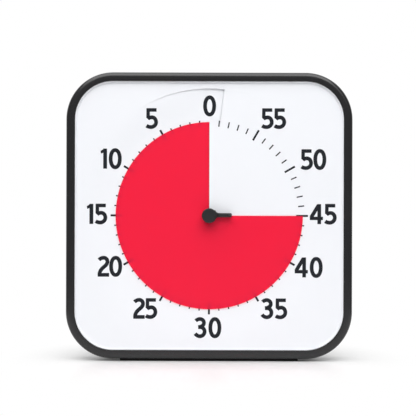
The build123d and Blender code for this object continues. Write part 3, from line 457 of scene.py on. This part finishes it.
# Middle of each figure from the dial's axis
NUMBERS = [
    ("0", 0.1, 117.0), ("5", -61.6, 103.4),
    ("1", -112.5, 60.4), ("0", -100.3, 60.4), ("1", -127.0, 1.5), ("5", -115.4, 1.5),
    ("2", -112.5, -54.3), ("0", -99.5, -54.3), ("2", -74.5, -99.0), ("5", -61.7, -99.0),
    ("3", -9.4, -119.3), ("0", 6.4, -119.3), ("3", 61.7, -98.9), ("5", 76.7, -98.9),
    ("4", 98.2, -54.8), ("0", 114.1, -54.8), ("4", 114.1, 2.0), ("5", 129.0, 2.0),
    ("5", 103.6, 60.1), ("0", 117.6, 60.1), ("5", 61.6, 103.6), ("5", 74.9, 103.6),
]


def numbers():
    """Every figure's strokes, moved to the figure's place on the dial."""
    return [
        ribbon(path + np.array([x, z]), width, closed=figure == "0")
        for figure, x, z in NUMBERS
        for path, width in FIGURES[figure]
    ]


add_piece("minute_marks", minute_marks(), ink_black, "case")
add_piece("dial_numbers", numbers(), ink_black, "case")

# ---------------------------------------------------------------------------------------------
# Red disc
# A satin polyester film cut along one radius, fixed to the hub. It passes through the slit at
# twelve, so it shows in front of the card from there anticlockwise to the pointer. It lets part
# of the light through, so the marks below show faintly.
DISC_RADIUS = 99.7
DISC_BORE = 5.3
DISC_THICKNESS = 0.4
DISC_RINGS = 9
DISC_STEPS = 320
DISC_START = 90.0
DISC_TURN = 358.5
DISC_START_Y = -17.2
DISC_RED = (0.90, 0.029, 0.119)
FILM_TINT = (0.97, 0.10, 0.22)
FILM_CLEAR = 0.64


def disc_depth(radius, degrees):
    """Y of the film's front: it falls back by the spiral's rise in each turn."""
    level = DISC_START_Y + SPIRAL_RISE * (degrees - DISC_START) / 360
    return np.broadcast_to(level, radius.shape)


def film_material():
    """Satin red that shows part of what lies behind it; the light that falls there is tinted."""
    material = surface(
        "disc_red", DISC_RED, roughness=0.42, grain=0.003, grain_size=1.2, mottle=0.04
    )
    tree = material.node_tree
    shader = tree.nodes["Principled BSDF"]
    clear = tree.nodes.new("ShaderNodeBsdfTransparent")
    clear.inputs["Color"].default_value = (*FILM_TINT, 1.0)
    rays = tree.nodes.new("ShaderNodeLightPath")
    share = tree.nodes.new("ShaderNodeMath")
    share.operation = "MAXIMUM"
    share.inputs[1].default_value = FILM_CLEAR
    mix = tree.nodes.new("ShaderNodeMixShader")
    tree.links.new(rays.outputs["Is Shadow Ray"], share.inputs[0])
    tree.links.new(share.outputs["Value"], mix.inputs["Fac"])
    tree.links.new(shader.outputs["BSDF"], mix.inputs[1])
    tree.links.new(clear.outputs["BSDF"], mix.inputs[2])
    tree.links.new(mix.outputs["Shader"], tree.nodes["Material Output"].inputs["Surface"])
    return material


disc_red = film_material()
disc_radii = np.linspace(DISC_BORE, DISC_RADIUS, DISC_RINGS)
disc_end = DISC_START + DISC_TURN
disc_shell = spiral_slab(
    disc_radii, DISC_START, disc_end, DISC_STEPS, disc_depth, DISC_THICKNESS
)
add_piece("red_film", [disc_shell], disc_red, "disc", ["red_disc"])

# ---------------------------------------------------------------------------------------------
# Pointer hub
# One black moulding: a round knob with a rounded edge, a lever that grows out of it with a
# concave neck, and a nub that a finger pushes. Its sleeve goes through the disc and the card.
HUB_RADIUS = 7.85
HUB_BACK_Y = -18.2
HUB_FRONT_Y = -26.5
HUB_ROUND = 0.9
HUB_ROUND_STEPS = 8
# Points of the hub's face: radius, and depth below its front
HUB_DISH = ((1.0, 0.25), (4.5, 0.2), (6.3, 0.05))
SLEEVE_RADIUS = 5.0
SLEEVE_END_Y = -12.4
ARBOR_RADIUS = 2.0
ARBOR_END_Y = -24.0
LEVER_FRONT_Y = -22.8
LEVER_LENGTH = 24.0
LEVER_HALF = 2.25
LEVER_RISE = 0.55
LEVER_ROUND = 0.6
# Half of the lever's section: how far in from the side in roundings, and depth below the front
LEVER_SECTION_IN = (0.0, 0.0, 0.3, 1.0)
LEVER_SECTION_DEPTH = (0.0, LEVER_ROUND, 0.18, 0.0)
ROUND_SHARE = 0.6
# Places of the sections along X: first, last and their count
NECK_PLACES = (3.0, 12.0, 25)
LEVER_PLACES = (13.0, 21.5, 8)
END_PLACES = (0, 0.985, 13)
END_ROUND = 2.0
END_POWER = 3
NECK_GROWTH = 4.7
NECK_START = 6.0
NECK_FADE = 1.1
NECK_HALF = 5.2
NECK_RISE = 3.2
NECK_RISE_END = 10.5
NUB_X = 21.9
NUB_RISE = 0.95
NUB_RADIUS = 1.35
NUB_FRONT_Y = -25.2
NUB_CORE = 0.2
# Points of the nub's rounded top: share of its radius, and depth below its front
NUB_TOP = ((0.5, 0.12), (0.85, 0.45), (1.0, 1.1))
NUB_FLARE = 0.1
NUB_SINK = 0.4
NUB_STEPS = 32
TURN_STEPS = 72
HUB_BLACK = (0.013, 0.013, 0.0145)


def turned(profile, x=0.0, z=0.0, steps=TURN_STEPS):
    """Profile of radii and depths turned about an axis along Y, with flat ends."""
    angle = np.linspace(0, 2 * math.pi, steps, endpoint=False)
    ring = np.stack([np.cos(angle), np.sin(angle)], -1)
    flat = profile[:, 0][:, None, None] * ring[None] + np.array([x, z])
    return shell(at_depth(flat, profile[:, 1][:, None]))


def hub_shell():
    """Knob, sleeve and arbor's bore as one turned profile, with a slightly dished face."""
    edge_centre = (HUB_RADIUS - HUB_ROUND, HUB_FRONT_Y + HUB_ROUND)
    profile = np.concatenate([
        [(radius, HUB_FRONT_Y + depth) for radius, depth in HUB_DISH],
        arc(edge_centre, (HUB_ROUND, HUB_ROUND), 270, 360, HUB_ROUND_STEPS),
        [(HUB_RADIUS, HUB_BACK_Y), (SLEEVE_RADIUS, HUB_BACK_Y), (SLEEVE_RADIUS, SLEEVE_END_Y)],
        [(ARBOR_RADIUS, SLEEVE_END_Y), (ARBOR_RADIUS, ARBOR_END_Y)],
    ])
    return turned(profile)


def lever_shell():
    """Section carried along X from the hub: half width and height fall off to the lever's own.

    The half width falls exponentially past the hub. The end is blunt: a superellipse of END_POWER.
    """
    past = 1 - (1 - np.linspace(*END_PLACES)) ** 2
    end = LEVER_LENGTH - END_ROUND * (1 - past)
    x = np.concatenate([np.linspace(*NECK_PLACES), np.linspace(*LEVER_PLACES), end])
    neck = NECK_GROWTH * np.exp(-(x - NECK_START) / NECK_FADE)
    over = np.clip((x - LEVER_LENGTH + END_ROUND) / END_ROUND, 0, 1)
    half = np.minimum(LEVER_HALF + neck, NECK_HALF) * (1 - over**END_POWER) ** (1 / END_POWER)
    rise = np.clip((NECK_RISE_END - x) / (NECK_RISE_END - HUB_RADIUS + HUB_ROUND), 0, 1)
    front = LEVER_FRONT_Y - NECK_RISE * smooth_step(rise)
    rounding = np.minimum(LEVER_ROUND, half * ROUND_SHARE)[:, None]
    side = half[:, None] - np.array(LEVER_SECTION_IN) * rounding
    depth = front[:, None] + np.array(LEVER_SECTION_DEPTH)
    depth[:, 0] = HUB_BACK_Y
    z = np.concatenate([side, -side[:, ::-1]], 1) + LEVER_RISE
    y = np.concatenate([depth, depth[:, ::-1]], 1)
    flat = np.stack([np.broadcast_to(x[:, None], z.shape), z], -1)
    return shell(at_depth(flat, y))


nub_foot_y = LEVER_FRONT_Y + NUB_SINK
nub_profile = np.array([
    (NUB_CORE, NUB_FRONT_Y),
    *((NUB_RADIUS * share, NUB_FRONT_Y + depth) for share, depth in NUB_TOP),
    (NUB_RADIUS + NUB_FLARE, nub_foot_y),
    (NUB_CORE, nub_foot_y),
])
hub_black = surface(
    "hub_black", HUB_BLACK, roughness=0.36, grain=0.008, grain_size=0.6, mottle=0.03
)
hub_shells = [hub_shell(), lever_shell(), turned(nub_profile, NUB_X, NUB_RISE, NUB_STEPS)]
add_piece("pointer", hub_shells, hub_black, "pointer", ["pointer_hub"])

# ---------------------------------------------------------------------------------------------
# Fold-out feet
# Two solid ABS bars with small rounds on every edge and a bore for the steel pin at the heel.
# A moulded rubber pad is let into the underside at the tip.
FOOT_EDGE = 0.7
FOOT_ROUNDS = (2.5, 2.0, 2.0, 2.5)
FOOT_HEEL = 2.6
FOOT_UNDER_AXIS = 4.0
PIN_BORE = 1.55
PAD_ROUNDS = (1.6, 1.6, 1.6, 1.6)
PAD_EDGE = 0.8
ROUND_STEPS = 6
OUTLINE_STEPS = 8
CORNER_SIGNS = ((1, 1), (-1, 1), (-1, -1), (1, -1))
PAD_BLACK = (0.006, 0.006, 0.006)


def rounded_rectangle(low, high, radii, inset):
    """Rectangle drawn anticlockwise from its low corner; the inset shortens its arcs' radii."""
    corners = [(low[0], low[1]), (high[0], low[1]), (high[0], high[1]), (low[0], high[1])]
    arcs = []
    for turn, (corner, sign, radius) in enumerate(zip(corners, CORNER_SIGNS, radii)):
        centre = np.add(corner, np.multiply(sign, radius))
        start = 180 + 90 * turn
        arcs.append(arc(centre, (radius - inset,) * 2, start, start + 90, OUTLINE_STEPS))
    return np.concatenate(arcs)


def rounded_ends(low, high, edge):
    """Places along a bar and the inset of its outline there: a quarter round at either end."""
    angle = np.radians(np.linspace(0, 90, ROUND_STEPS + 1))
    inset = edge * (1 - np.sin(angle))
    start = low + edge * (1 - np.cos(angle))
    return np.concatenate([start, low + high - start[::-1]]), np.concatenate([inset, inset[::-1]])


def bar(low, high, radii, edge, axis=0):
    """Rounded bar along X, Y or Z between two corners: its outline at each place, capped flat."""
    across = [other for other in range(3) if other != axis]
    places, insets = rounded_ends(low[axis], high[axis], edge)
    flat_low, flat_high = ([corner[i] for i in across] for corner in (low, high))
    outlines = np.stack([
        rounded_rectangle(flat_low, flat_high, radii, inset) for inset in insets
    ])
    along = np.broadcast_to(places[:, None], outlines.shape[:2])
    return shell(np.insert(outlines, axis, along, axis=2))


def bored(points, axis_y, axis_z, radius):
    """Bar along X with a round bore: its rows start and end on a circle about the bore's axis."""
    middle = points[len(points) // 2]
    away = middle[:, 1:] - (axis_y, axis_z)
    ring = (axis_y, axis_z) + radius * away / np.linalg.norm(away, axis=1)[:, None]
    ends = [np.column_stack([points[row, :, 0], ring]) for row in (0, -1)]
    return shell(np.concatenate([ends[:1], points, ends[1:]]), wrap_rows=True)


def corners_of(node):
    """Lowest and highest corner of a CAD piece in millimetres."""
    return [np.array(corner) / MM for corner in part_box(node)]


def foot_shell(side):
    """Foot folded out, at the place of its CAD piece."""
    low, high = corners_of(f"{side}_foot")
    points, _ = bar(low, high, FOOT_ROUNDS, FOOT_EDGE)
    grid = points.reshape(2 * (ROUND_STEPS + 1), -1, 3)
    return bored(grid, low[1] + FOOT_HEEL, low[2] + FOOT_UNDER_AXIS, PIN_BORE)


def pad_shell(side):
    """Pad with rounded corners and a rounded sole edge."""
    low, high = corners_of(f"{side}_foot_pad")
    return bar(low, high, PAD_ROUNDS, PAD_EDGE, axis=2)


pad_rubber = surface(
    "pad_rubber", PAD_BLACK, roughness=0.85, grain=0.02, grain_size=0.4, mottle=0.05
)
for side in ("left", "right"):
    foot = f"{side}_foot"
    body = f"{foot}_body"
    add_piece(f"{foot}_bar", [foot_shell(side)], case_black, body, [foot])
    add_piece(f"{side}_pad", [pad_shell(side)], pad_rubber, body, [f"{foot}_pad"])

# ---------------------------------------------------------------------------------------------
# Battery door
# A flat ABS panel that swings on two pins at its upper edge. Ribs above the finger scoop give
# the thumb a grip, and a tongue behind them snaps under the trough's wall.
DOOR_THICKNESS = 1.9
DOOR_ROUNDS = (0.45, 0.6, 0.95, 0.95)
DOOR_EDGE = 0.4
DOOR_PIN_RADIUS = 0.7
DOOR_PIN_LENGTH = 1.5
DOOR_PIN_EDGE = 0.3
TONGUE = (10.0, 1.2)
TONGUE_RISE = 5.15
TONGUE_ROUND = 0.4
TONGUE_EDGE = 0.3
TONGUE_SINK = 0.2
RIB_COUNT = 4
RIB_PITCH = 2.0
RIB_LOW = 2.6
RIB_SIZE = (22.0, 1.0, 0.4)
RIDGE_SECTIONS = 25
RIDGE_REACH = 0.999
# Degrees of the raised half ellipse, which goes a little into the face at both sides
RIDGE_ARC = (-20, 200)
RIDGE_POINTS = 12


def ridge(x, y, z, length, width, height):
    """Low bar along X on a face square to Y: half an ellipse that a superellipse ends."""
    share = np.sin(np.linspace(-1, 1, RIDGE_SECTIONS) * math.pi / 2) * RIDGE_REACH
    taper = (1 - np.abs(share) ** (length / width)) ** 0.5
    turn = np.radians(np.linspace(*RIDGE_ARC, RIDGE_POINTS))
    rise = y + height * taper[:, None] * np.sin(turn)
    half = z + width / 2 * taper[:, None] * np.cos(turn)
    along = np.broadcast_to(x + length / 2 * share[:, None], half.shape)
    return shell(np.stack([along, rise, half], -1))


def door_shells():
    """Panel, hinge pins, latch tongue and grip ribs."""
    low, high = corners_of("battery_door")
    inner = high[1] - DOOR_THICKNESS
    reach = high[0] - DOOR_PIN_LENGTH
    pin_y = high[1] - DOOR_THICKNESS / 2
    pin_z = high[2] - DOOR_THICKNESS / 2
    pin = DOOR_PIN_RADIUS
    pin_low = (low[0], pin_y - pin, pin_z - pin)
    pin_high = (high[0], pin_y + pin, pin_z + pin)
    tongue_z = low[2] + TONGUE_RISE
    tongue_low = (-TONGUE[0] / 2, low[1], tongue_z)
    tongue_high = (TONGUE[0] / 2, inner + TONGUE_SINK, tongue_z + TONGUE[1])
    rib_places = [low[2] + RIB_LOW + RIB_PITCH * rib for rib in range(RIB_COUNT)]
    return [
        bar((-reach, inner, low[2]), (reach, high[1], high[2]), DOOR_ROUNDS, DOOR_EDGE),
        bar(pin_low, pin_high, (pin,) * 4, DOOR_PIN_EDGE),
        bar(tongue_low, tongue_high, (TONGUE_ROUND,) * 4, TONGUE_EDGE),
        *(ridge(0.0, high[1], z, *RIB_SIZE) for z in rib_places),
    ]


add_piece("door_panel", door_shells(), case_black, "door", ["battery_door"])

# ---------------------------------------------------------------------------------------------
# Marks at the sound switch
# Moulded in the floor of the switch's recess: a bar where the alarm sounds, a ring where it
# doesn't.
SWITCH_X = 55.0
SWITCH_Z = 102.5
SWITCH_FLOOR_Y = 19.0
MARK_OFFSET = 6.4
MARK_HEIGHT = 0.22
MARK_WIDTH = 0.6
MARK_REACH = 1.5
RING_POINTS = 10
RING_STEPS = 48


def ring_mark(x, z, radius, width):
    """Low ring on a face square to Y: half an ellipse carried round the ring's centre."""
    section = arc(
        (radius, SWITCH_FLOOR_Y), (width / 2, MARK_HEIGHT), *RIDGE_ARC, RING_POINTS
    )
    angle = np.linspace(0, 2 * math.pi, RING_STEPS, endpoint=False)
    reach = section[None, :, 0]
    across = x + reach * np.cos(angle)[:, None]
    up = z + reach * np.sin(angle)[:, None]
    depth = np.broadcast_to(section[:, 1], across.shape)
    return shell(np.stack([across, depth, up], -1), wrap_rows=True)


bar_x = SWITCH_X - MARK_OFFSET
bar_low = (bar_x - MARK_WIDTH / 2, SWITCH_FLOOR_Y - MARK_HEIGHT, SWITCH_Z - MARK_REACH)
bar_high = (bar_x + MARK_WIDTH / 2, SWITCH_FLOOR_Y + MARK_HEIGHT, SWITCH_Z + MARK_REACH)
switch_marks = [
    bar(bar_low, bar_high, (MARK_HEIGHT,) * 4, MARK_HEIGHT, axis=2),
    ring_mark(SWITCH_X + MARK_OFFSET, SWITCH_Z, MARK_REACH - MARK_WIDTH / 2, MARK_WIDTH),
]
add_piece("switch_marks", switch_marks, case_black, "case")

# ---------------------------------------------------------------------------------------------
# Kept CAD pieces
# Housing, case screws, switch knob, rubber strip and everything inside keep their shapes and get
# the finish of their material slot: moulded plastics, plated steel, copper, brass and rubber.

# Colour, roughness and metallic share of each slot
FINISHES = {
    "support_grey": ((0.30, 0.31, 0.32), 0.55, 0.0),
    "movement_grey": ((0.08, 0.085, 0.095), 0.5, 0.0),
    "wheel_ivory": ((0.68, 0.62, 0.48), 0.45, 0.0),
    "steel": ((0.52, 0.52, 0.54), 0.28, 1.0),
    "soft_iron": ((0.32, 0.32, 0.33), 0.38, 1.0),
    "magnet_dark": ((0.10, 0.10, 0.11), 0.4, 1.0),
    "copper_wire": ((0.72, 0.30, 0.14), 0.3, 1.0),
    "brass": ((0.70, 0.50, 0.20), 0.3, 1.0),
    "ceramic_white": ((0.70, 0.68, 0.62), 0.5, 0.0),
    "board_green": ((0.01, 0.09, 0.03), 0.35, 0.0),
    "chip_black": ((0.012, 0.012, 0.013), 0.4, 0.0),
    "can_silver": ((0.62, 0.62, 0.64), 0.3, 1.0),
    "cell_jacket": ((0.03, 0.07, 0.16), 0.3, 0.2),
    "lead_jacket": ((0.35, 0.02, 0.02), 0.45, 0.0),
}
FINE_GRAIN = {"grain": 0.006, "grain_size": 0.5, "mottle": 0.05}
finish = {
    "case_black": case_black,
    "hub_black": hub_black,
    "card_white": card_white,
    "disc_red": disc_red,
    "pad_rubber": pad_rubber,
}
for slot, (colour, roughness, metallic) in FINISHES.items():
    finish[slot] = surface(slot, colour, roughness, metallic=metallic, **FINE_GRAIN)
for subpart in frame["record"]["subparts"]:
    node = nodes[subpart["node"]]
    node.data.materials.clear()
    node.data.materials.append(finish[subpart["material_slot"]])

# ---------------------------------------------------------------------------------------------
# Floor, light and camera
# A pale floor that fades into a white surround, one large soft light overhead, another one high
# in front, and a camera level with the dial's axis.
FLOOR_SIZE = 1.1
FLOOR_FADE = (0.10, 0.23)
FLOOR_WHITE = 0.77
FLOOR_ROUGHNESS = 0.33
FLOOR_SPECULAR = 0.4
BACKDROP_EDGE = (0.2, 0.7)
AMBIENT = 0.25
LIGHT_AIM = (0.0, 0.0, 0.15)
# Name, place, size and power in watts of each soft light
SOFTBOXES = (
    ("top_light", (-0.05, -0.4, 1.3), (1.8, 1.4), 23.0),
    ("front_light", (0.25, -1.9, 1.7), (2.8, 1.6), 26.0),
)


def calculated(tree, operation, first, second):
    """Output of a maths node that two other outputs feed."""
    node = tree.nodes.new("ShaderNodeMath")
    node.operation = operation
    tree.links.new(first, node.inputs[0])
    tree.links.new(second, node.inputs[1])
    return node.outputs["Value"]


def ray_kinds(tree):
    """Outputs that are one for camera rays, and one for mirrored and refracted rays."""
    rays = tree.nodes.new("ShaderNodeLightPath").outputs
    mirrored = calculated(tree, "MAXIMUM", rays["Is Glossy Ray"], rays["Is Transmission Ray"])
    return rays["Is Camera Ray"], mirrored


def floor_material():
    """Pale matt floor that turns into the white surround with the distance from the object.

    The white is only what camera, mirrored and refracted rays see; it throws no light.
    """
    material = surface(
        "floor_pale", (FLOOR_WHITE,) * 3, roughness=FLOOR_ROUGHNESS, grain=0.002, mottle=0.02,
        Specular_IOR_Level=FLOOR_SPECULAR,
    )
    tree = material.node_tree
    shader = tree.nodes["Principled BSDF"]
    place = tree.nodes.new("ShaderNodeTexCoord")
    length = tree.nodes.new("ShaderNodeVectorMath")
    length.operation = "LENGTH"
    fade = tree.nodes.new("ShaderNodeMapRange")
    fade.interpolation_type = "SMOOTHSTEP"
    fade.inputs["From Min"].default_value = FLOOR_FADE[0]
    fade.inputs["From Max"].default_value = FLOOR_FADE[1]
    glow = tree.nodes.new("ShaderNodeEmission")
    mix = tree.nodes.new("ShaderNodeMixShader")
    tree.links.new(place.outputs["Object"], length.inputs[0])
    tree.links.new(length.outputs["Value"], fade.inputs["Value"])
    seen = calculated(tree, "MAXIMUM", *ray_kinds(tree))
    share = calculated(tree, "MULTIPLY", fade.outputs["Result"], seen)
    tree.links.new(share, mix.inputs["Fac"])
    tree.links.new(shader.outputs["BSDF"], mix.inputs[1])
    tree.links.new(glow.outputs["Emission"], mix.inputs[2])
    tree.links.new(mix.outputs["Shader"], tree.nodes["Material Output"].inputs["Surface"])
    return material


def add_floor():
    """Square floor at the table's height."""
    half = FLOOR_SIZE / 2
    mesh = bpy.data.meshes.new("floor")
    corners = [(-half, -half, 0), (half, -half, 0), (half, half, 0), (-half, half, 0)]
    mesh.from_pydata(corners, [], [(0, 1, 2, 3)])
    mesh.materials.append(floor_material())
    floor = bpy.data.objects.new("floor", mesh)
    bpy.context.scene.collection.objects.link(floor)


def add_softbox(name, place, size, power):
    """Rectangular area light at a place, turned towards LIGHT_AIM."""
    light = bpy.data.lights.new(name, "AREA")
    light.shape = "RECTANGLE"
    light.size, light.size_y = size
    light.energy = power
    box = bpy.data.objects.new(name, light)
    bpy.context.scene.collection.objects.link(box)
    direction = np.array(LIGHT_AIM) - np.array(place)
    flat = math.hypot(direction[0], direction[1])
    box.location = place
    tilt = math.atan2(flat, -direction[2])
    box.rotation_euler = (tilt, 0.0, math.atan2(-direction[0], direction[1]))


def white_surround():
    """World that lights weakly from all round and looks white.

    The camera sees it white everywhere. Mirrored and refracted rays see it white behind the
    object, and as weak as the rest in front of it.
    """
    world = bpy.data.worlds.new("surround")
    world.use_nodes = True
    tree = world.node_tree
    back = tree.nodes["Background"]
    back.inputs["Color"].default_value = (1.0, 1.0, 1.0, 1.0)
    camera_rays, mirrored = ray_kinds(tree)
    place = tree.nodes.new("ShaderNodeTexCoord")
    direction = tree.nodes.new("ShaderNodeSeparateXYZ")
    tree.links.new(place.outputs["Object"], direction.inputs["Vector"])
    behind = tree.nodes.new("ShaderNodeMapRange")
    behind.interpolation_type = "SMOOTHSTEP"
    behind.inputs["From Min"].default_value = BACKDROP_EDGE[0]
    behind.inputs["From Max"].default_value = BACKDROP_EDGE[1]
    tree.links.new(direction.outputs["Y"], behind.inputs["Value"])
    backdrop = calculated(tree, "MULTIPLY", mirrored, behind.outputs["Result"])
    white = calculated(tree, "MAXIMUM", camera_rays, backdrop)
    level = tree.nodes.new("ShaderNodeMapRange")
    level.inputs["To Min"].default_value = AMBIENT
    level.inputs["To Max"].default_value = 1.0
    tree.links.new(white, level.inputs["Value"])
    tree.links.new(level.outputs["Result"], back.inputs["Strength"])
    bpy.context.scene.world = world


add_floor()
white_surround()
for softbox in SOFTBOXES:
    add_softbox(*softbox)

CAMERA_DISTANCE = 1.2
# Width of the view at the bezel's front
FRAME_WIDTH = 0.4418
SENSOR = 36.0
ROLL = -0.17
# Size of the square picture, and how far its middle is shifted, in pixels
PIXELS = 416
SHIFT_PIXELS = (-1.2, 7.65)
camera_data = bpy.data.cameras.new("camera")
camera_data.sensor_width = SENSOR
camera_data.lens = SENSOR * CAMERA_DISTANCE / FRAME_WIDTH
camera_data.shift_x = SHIFT_PIXELS[0] / PIXELS
camera_data.shift_y = SHIFT_PIXELS[1] / PIXELS
camera = bpy.data.objects.new("camera", camera_data)
bpy.context.scene.collection.objects.link(camera)
camera.location = (0.0, FRONT_Y * MM - CAMERA_DISTANCE, DIAL_Z * MM)
camera.rotation_euler = (math.pi / 2, math.radians(ROLL), 0.0)
bpy.context.scene.camera = camera
bpy.context.scene.view_settings.view_transform = "Standard"
